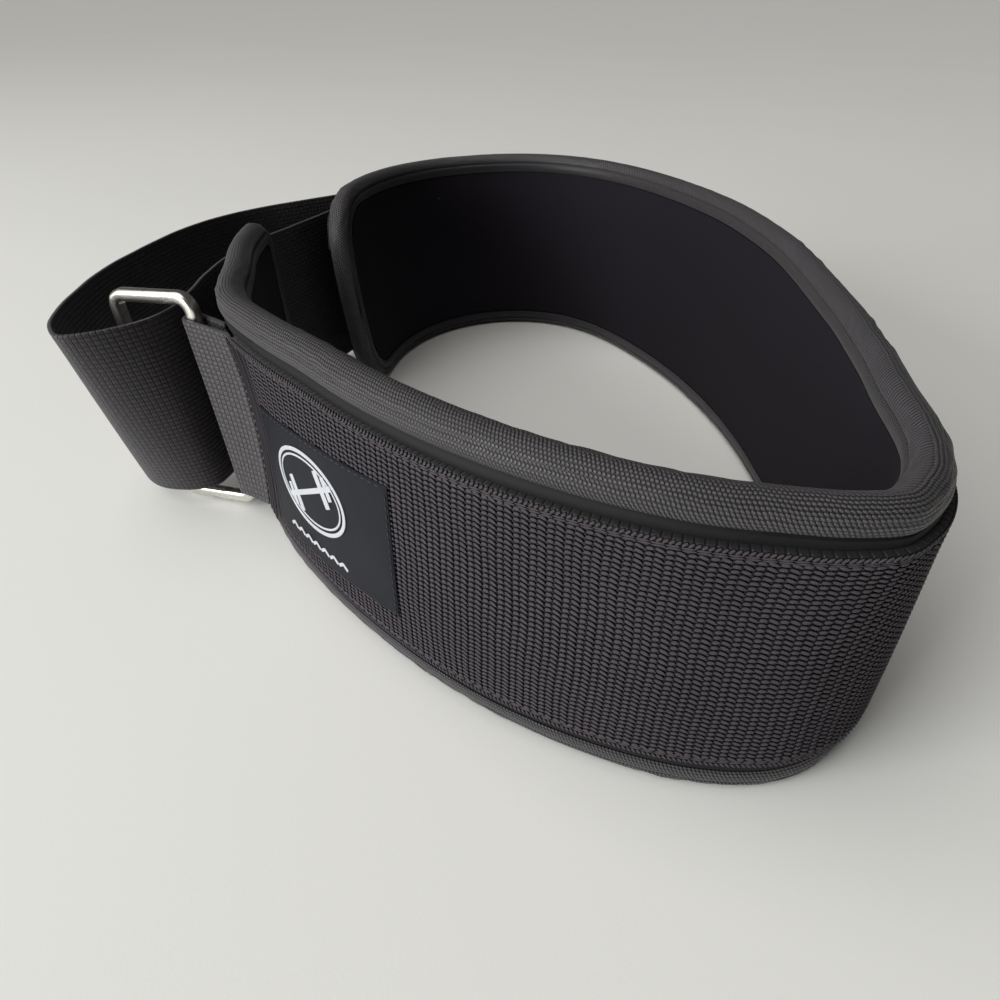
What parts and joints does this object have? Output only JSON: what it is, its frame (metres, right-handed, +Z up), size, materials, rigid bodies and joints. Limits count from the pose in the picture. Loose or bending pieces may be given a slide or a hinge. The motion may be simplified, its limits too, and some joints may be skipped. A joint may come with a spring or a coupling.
{
  "type": "weightlifting belt",
  "caption": "Padded fabric weightlifting belt curled into a waist loop, with its webbing strap passed through a steel ring and turned back on the outside.",
  "frame": {"origin": "on the surface it stands on, below the middle of the bounding box", "axes": "+Z up across the belt's width, +Y the long way through the waist loop, +X from the ring side to the far wall"},
  "size_m": [0.2928, 0.354, 0.1],
  "materials": {
    "foam_shell": "dull black skin over foam",
    "lining_cloth": "brushed soft black cloth",
    "overlay_webbing": "coarse woven charcoal",
    "edge_tape": "woven charcoal tape",
    "label_cloth": "dark satin weave",
    "strap_webbing": "woven webbing",
    "plated_steel": "bright nickel plate"
  },
  "bodies": {
    "root": {"padded_body": "foam_shell", "lining": "lining_cloth", "outer_webbing": "overlay_webbing", "top_tape": "edge_tape", "bottom_tape": "edge_tape", "near_end_tape": "edge_tape", "far_end_tape": "edge_tape", "label_patch": "label_cloth", "keeper_loop": "strap_webbing", "strap": "strap_webbing", "steel_ring": "plated_steel"}
  },
  "joints": []
}
